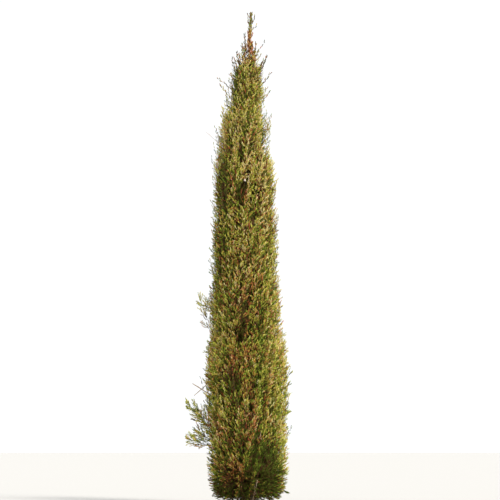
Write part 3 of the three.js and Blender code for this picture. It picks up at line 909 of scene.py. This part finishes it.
def growPlume(cell):
    draw = random.Random(cell["seed"])
    limb = stemCurve(cell)
    size = between((plume["leastSize"], 1), min(1, cell["size"] / plume["fullSizeAt"]))
    first, over = plume["upward"]
    count = plume["twigs"][cell["level"]]
    for i in range(count):
        swing = plume["swing"] * swingAt(i, pairSteps[0])
        reach = between(plume["reach"], ((0.3 + i * pairSteps[1]) % 1) ** plume["outward"])
        tip = plumePoint(cell, swing, first + over * (i + 0.5) / count, reach)
        if draw.random() < (tip.z - plume["thinFrom"]) / plume["thinOver"]:
            continue
        dressTwig(draw, twigCurve(limb, tip), "crown", draw.random(), size)
    for i in range(core["twigs"]):
        share = (i + 0.5) / core["twigs"]
        tip = plumePoint(cell, swingAt(i, goldenStep), share, draw.uniform(*core["reach"]))
        curve = twigCurve(limb, tip)
        growth["twigs"].append((curve, plume["radius"]))
        addShade(draw, curve, core["part"], core["shade"], size)
    if cell["level"] == 0:
        growSkirt(draw, cell, limb)


def growSkirt(draw, cell, limb):
    for i in range(skirt["twigs"]):
        bearing = cell["bearing"] + swingAt(i, goldenStep) * cell["half"]
        height = draw.uniform(*skirt["heights"])
        tip = rimPoint(bearing, draw.uniform(*skirt["reach"]), height)
        curve = twigCurve(limb, tip)
        dressTwig(draw, curve, "skirt", skirt["tone"] * draw.random())
        addShade(draw, curve, skirt["part"], skirt["shade"], skirt["shadeSize"])


def leaderPoint(height):
    foot, _, top = stemCurve(cells[-1])
    if height < foot.z:
        return crownPoint(0, 0, height)
    return foot.lerp(top, (height - foot.z) / (top.z - foot.z))


def growLeader():
    draw = random.Random(leader["seed"])
    turn, rise = leader["clumpPlay"]
    bendAlong, bendOut = leader["bend"]
    for i in range(leader["clumps"]):
        height = between(leader["heights"], (i + 0.5) / leader["clumps"])
        narrow = 1 - leader["narrowing"] * i / leader["clumps"]
        for _ in range(leader["clumpTwigs"]):
            out = outwardOn(i * goldenTurn + draw.uniform(-turn, turn))
            tipHeight = height + draw.uniform(-rise, rise)
            reach = crownRadius(tipHeight) * draw.uniform(*leader["reach"]) * narrow
            tip = leaderPoint(tipHeight) + out * reach
            start = leaderPoint(tipHeight - leader["drop"] - reach)
            bend = start.lerp(tip, bendAlong) + out * reach * bendOut
            dressTwig(draw, (start, bend, tip), "tuft", draw.random(), thick=leader["radius"])
    growth["twigs"].append((tuple(leaderPoint(height) for height in leader["shaft"]), leader["thick"]))
    growTwiglets(draw)
    least, more = leader["spireRadius"]
    for height, (bendX, bendZ), (tipX, tipZ), depth, count in spires:
        bend = Vector((bendX, depth * leader["spireDepth"], bendZ))
        curve = (leaderPoint(height), bend, Vector((tipX, depth, tipZ)))
        dressTwig(draw, curve, "spire", draw.random(), count=count, thick=least + more * count)


def growTwiglets(draw):
    # along the leader: the first ones are rusty, the rest run on to its tip
    count = twiglets["count"]
    rise, riseOut = twiglets["rise"]
    for i in range(count):
        rusty = i < count * twiglets["rustShare"]
        height = draw.uniform(*twiglets["rust"])
        if not rusty:
            left = (count - i - draw.random()) / (count * (1 - twiglets["rustShare"]))
            height = between((twiglets["upTo"], twiglets["downTo"]), left)
        reach = draw.uniform(*twiglets["reach"]) * (twiglets["rustReach"] if rusty else 1)
        out = outwardOn(i * goldenTurn)
        aside = leader["aside"] * clamp((leader["asideBelow"] - height) / leader["asideOver"])
        start = leaderPoint(height) + out * aside
        tip = start + out * reach + Vector((0, 0, rise + reach * riseOut))
        spent = twiglets["rustWarmth"] if rusty else 0
        tone = twiglets["rustTone"] if rusty else twiglets["tone"]
        curve = (start, start.lerp(tip, 0.5), tip)
        dressTwig(draw, curve, "twiglet", tone, thick=leader["radius"], spent=spent)


def growFrond(draw, tip, count, thick, climb):
    _, distance = fromTrunk(tip)
    drop = climb * (distance - fronds["root"] * crownRadius(tip.z)) + fronds["drop"]
    start = onLimb(stemCurve(homeOf(tip)), tip.z - drop)
    curve = (start, start.lerp(tip, fronds["bend"]) - Vector((0, 0, fronds["sag"])), tip)
    tone = draw.uniform(*fronds["tone"])
    dressTwig(draw, curve, "frond", tone, count=fronds["sprays"], thick=thick)
    for i in range(count):
        share = between(fronds["part"], (i + 0.5) / count)
        root = alongCurve(curve, share)
        ahead = curveDirection(curve, share)
        side = across(ahead, i * goldenTurn)
        length = between(fronds["length"], share) * draw.uniform(*fronds["play"])
        way = ahead * fronds["ahead"] + side * fronds["aside"] + Vector((0, 0, fronds["up"]))
        end = root + way * length
        fine = (root, root.lerp(end, 0.5) + ahead * fronds["bow"], end)
        dressTwig(draw, fine, "frond", tone, thick=thick * fronds["finer"])


def growLoose():
    for i, (degrees, distance, height, count, climb) in enumerate(strays):
        tip = crownPoint(math.radians(degrees), distance, height)
        growFrond(random.Random(fronds["straySeed"] + i), tip, count, fronds["strayRadius"], climb)
    draw = random.Random(fronds["seed"])
    for i in range(fronds["count"]):
        height = between(fronds["heights"], (i + 0.5) / fronds["count"])
        tip = rimPoint(i * goldenTurn, draw.uniform(*fronds["reach"]), height)
        growFrond(draw, tip, fronds["twiglets"], fronds["radius"], fronds["climb"])
    for i in range(tufts["count"]):
        height = between(tufts["heights"], (i + 0.5) / tufts["count"])
        tip = rimPoint(i * goldenTurn + tufts["turn"], draw.uniform(*tufts["reach"]), height)
        curve = twigCurve(stemCurve(homeOf(tip)), tip)
        dressTwig(draw, curve, "tuft", draw.random(), count=tufts["sprays"])
    for i in range(wisps["count"]):
        growWisp(draw, i)


def growWisp(draw, number):
    low, middle, high = wisps["heights"]
    height = draw.uniform(middle, high) if draw.random() < wisps["topShare"] else draw.uniform(low, middle)
    reach = draw.uniform(*wisps["reach"]) * (1 if height > middle else wisps["lowReach"])
    tip = rimPoint(number * goldenTurn, reach, height)
    if height > wisps["leaderFrom"]:
        below, along = wisps["bend"]
        bend = leaderPoint(height - below).lerp(tip, along)
        curve = (leaderPoint(height - wisps["root"]), bend, tip)
    else:
        curve = twigCurve(stemCurve(homeOf(tip)), tip)
    dressTwig(draw, curve, "wisp", draw.random(), thick=wisps["radius"])


def growDeadTwigs():
    for degrees, distance, height, thick, climb in deadTwigs:
        bearing = math.radians(degrees)
        tip = crownPoint(bearing, distance, height)
        inner = deadTwig["root"] * crownRadius(height)
        start = crownPoint(bearing, inner, max(deadTwig["lowest"], height - climb * (distance - inner)))
        curve = (start, start.lerp(tip, 0.5) - Vector((0, 0, deadTwig["sag"])), tip)
        if thick > deadTwig["stubFrom"]:
            growth["stubs"].append((curve, thick))
            continue
        growth["deadTwigs"].append((curve, thick))
        for share, turn in deadTwig["forks"]:
            root = alongCurve(curve, share)
            ahead = curveDirection(curve, share)
            way = ahead + across(ahead, turn) * deadTwig["forkSpread"]
            end = root + way * deadTwig["forkLength"]
            growth["deadTwigs"].append(((root, root.lerp(end, 0.5), end), thick * deadTwig["forkGirth"]))


for cell in cells:
    if not cell["single"]:
        growPlume(cell)
growLeader()
growLoose()
growDeadTwigs()
print("sprays placed,", len(growth["roots"]), "on", len(growth["twigs"]), "twigs")


# The shoots of each tint are joined into pieces, and so are the twigs

twigMesh = {"rings": 4, "sides": 3, "taper": 0.72, "deadTaper": 0.4, "barkScale": 160}


def meshFromArrays(name, points, faces):
    mesh = bpy.data.meshes.new(name)
    mesh.vertices.add(len(points))
    mesh.vertices.foreach_set("co", points.astype(np.float32).ravel())
    mesh.loops.add(faces.size)
    mesh.loops.foreach_set("vertex_index", faces.astype(np.int32).ravel())
    mesh.polygons.add(len(faces))
    mesh.polygons.foreach_set("loop_start", np.arange(0, faces.size, 3, dtype=np.int32))
    mesh.update(calc_edges=True)
    mesh.shade_smooth()
    print("  ", name, len(mesh.polygons), "faces")
    return mesh


def sprayFrames(directions, rolls):
    up = np.array([0.0, 0.0, 1.0])
    side = np.cross(up, directions)
    side /= np.maximum(np.linalg.norm(side, axis=1, keepdims=True), 1e-6)
    other = np.cross(directions, side)
    wide = side * np.cos(rolls)[:, None] + other * np.sin(rolls)[:, None]
    return np.stack([wide, np.cross(directions, wide), directions], axis=2)


def dealTints(draw, part):
    # each shoot is green or spent, and dark or pale like its spray, with some play; part 0 is the axis
    shift = axisTint if part == 0 else 0
    play = draw.uniform(-tintPlay, tintPlay, len(growth["levels"]))
    shootLevels = np.array(growth["levels"]) + play - shift
    steps = np.clip((shootLevels * len(greens)).astype(int), 0, len(greens) - 1)
    warm = draw.random(len(steps)) < np.array(growth["warmths"]) + shift
    return np.where(warm, np.array(warms)[steps], np.array(greens)[steps])


def makeSprays():
    draw = np.random.default_rng(spray["tintSeed"])
    kinds, roots = np.array(growth["kinds"]), np.array(growth["roots"])
    lengths, girths = (np.array(growth[key])[:, None, None] for key in ("lengths", "girths"))
    rolls = draw.uniform(-spray["roll"], spray["roll"], len(kinds))
    turns = sprayFrames(np.array(growth["directions"]), rolls)
    dealt = [dealTints(draw, part) for part in range(spray["sideShoots"] + 2)]
    most = spray["mostFaces"] // len(spindleFaces)
    for tint, colour in tints.items():
        material = foliageMaterial("foliage_" + tint, colour)
        shoots = []
        for kind, parts in enumerate(sprayKinds):
            for part, (line, off) in enumerate(parts):
                chosen = (dealt[part] == tint) & (kinds == kind)
                shape = line * lengths[chosen] + off * girths[chosen]
                shoots.append(np.einsum("nij,nmj->nmi", turns[chosen], shape) + roots[chosen][:, None, :])
        shoots = np.concatenate(shoots)
        for number, first in enumerate(range(0, len(shoots), most), 1):
            some = shoots[first:first + most]
            faces = spindleFaces[None] + spindlePoints * np.arange(len(some))[:, None, None]
            name = f"sprays_{tint}_{number}"
            mesh = meshFromArrays(name, some.reshape(-1, 3), faces.reshape(-1, 3))
            finishMesh(name, mesh, material, leafyNodes)


def makeTwigs(name, twigs, taper, bark, tone):
    rings, sides = twigMesh["rings"], twigMesh["sides"]
    points, faces = [], []
    for curve, thick in twigs:
        base = len(points)
        points.append(tuple(alongCurve(curve, 0)))
        for ring in range(rings):
            share = ring / (rings - 1)
            direction = curveDirection(curve, share)
            side = direction.cross(Vector((0.31, 0.95, 0.05))).normalized()  # no twig goes this way
            other = direction.cross(side)
            radius = thick * (1 - taper * share)
            for i in range(sides):
                angle = 2 * math.pi * i / sides
                off = (side * math.cos(angle) + other * math.sin(angle)) * radius
                points.append(tuple(alongCurve(curve, share) + off))
        points.append(tuple(alongCurve(curve, 1) + curveDirection(curve, 1) * thick))
        for i in range(sides):
            after = (i + 1) % sides
            faces.append((base, base + 1 + after, base + 1 + i))
            for ring in range(rings - 1):
                low = base + 1 + ring * sides
                faces.append((low + i, low + after, low + sides + after))
                faces.append((low + i, low + sides + after, low + sides + i))
            last = base + 1 + (rings - 1) * sides
            faces.append((last + i, last + after, last + sides))
    mesh = meshFromArrays(name, np.array(points), np.array(faces))
    finishMesh(name, mesh, barkMaterial(bark, twigMesh["barkScale"], tone), leafyNodes)


makeSprays()
makeTwigs("twigs", growth["twigs"], twigMesh["taper"], "twigBark", youngTone)
makeTwigs("dead_twigs", growth["deadTwigs"], twigMesh["deadTaper"], "deadWood", deadTone)
# the stub's pale wood is partly painted light
makeTwigs("broken_stub", growth["stubs"], twigMesh["deadTaper"], "brokenWood", brokenTone)
print("sprays and twigs made")


# Floor, sky and lamp

studio = {
    "floor": "c0beba", "floorRadius": 60, "floorSides": 96, "floorRoughness": 0.9,
    "sky": "f6f8fa", "skyStrength": 1.12,
    "sun": 3.3, "sunColour": (1, 0.97, 0.92), "sunFrom": (0.7, -0.78, 1.15), "softness": math.radians(15),
}


def makeStudio():
    shape = bmesh.new()
    sides, radius = studio["floorSides"], studio["floorRadius"]
    bmesh.ops.create_circle(shape, cap_ends=True, segments=sides, radius=radius)
    mesh = bpy.data.meshes.new("floor")
    shape.to_mesh(mesh)
    shape.free()
    floor = addObject("floor", mesh)
    material, _, _, shader = newMaterial("floorPaint")
    shader.inputs["Base Color"].default_value = linear(studio["floor"])
    shader.inputs["Roughness"].default_value = studio["floorRoughness"]
    mesh.materials.append(material)
    world = bpy.data.worlds.new("sky")
    world.use_nodes = True
    background = world.node_tree.nodes["Background"]
    background.inputs["Color"].default_value = linear(studio["sky"])
    background.inputs["Strength"].default_value = studio["skyStrength"]
    bpy.context.scene.world = world
    lamp = bpy.data.lights.new("sun", "SUN")
    lamp.energy = studio["sun"]
    lamp.angle = studio["softness"]
    lamp.color = studio["sunColour"]
    sun = addObject("sun", lamp)
    sun.rotation_euler = Vector(studio["sunFrom"]).to_track_quat("Z", "Y").to_euler()
    bpy.context.scene.view_settings.view_transform = "Standard"


makeStudio()
print("studio lit")
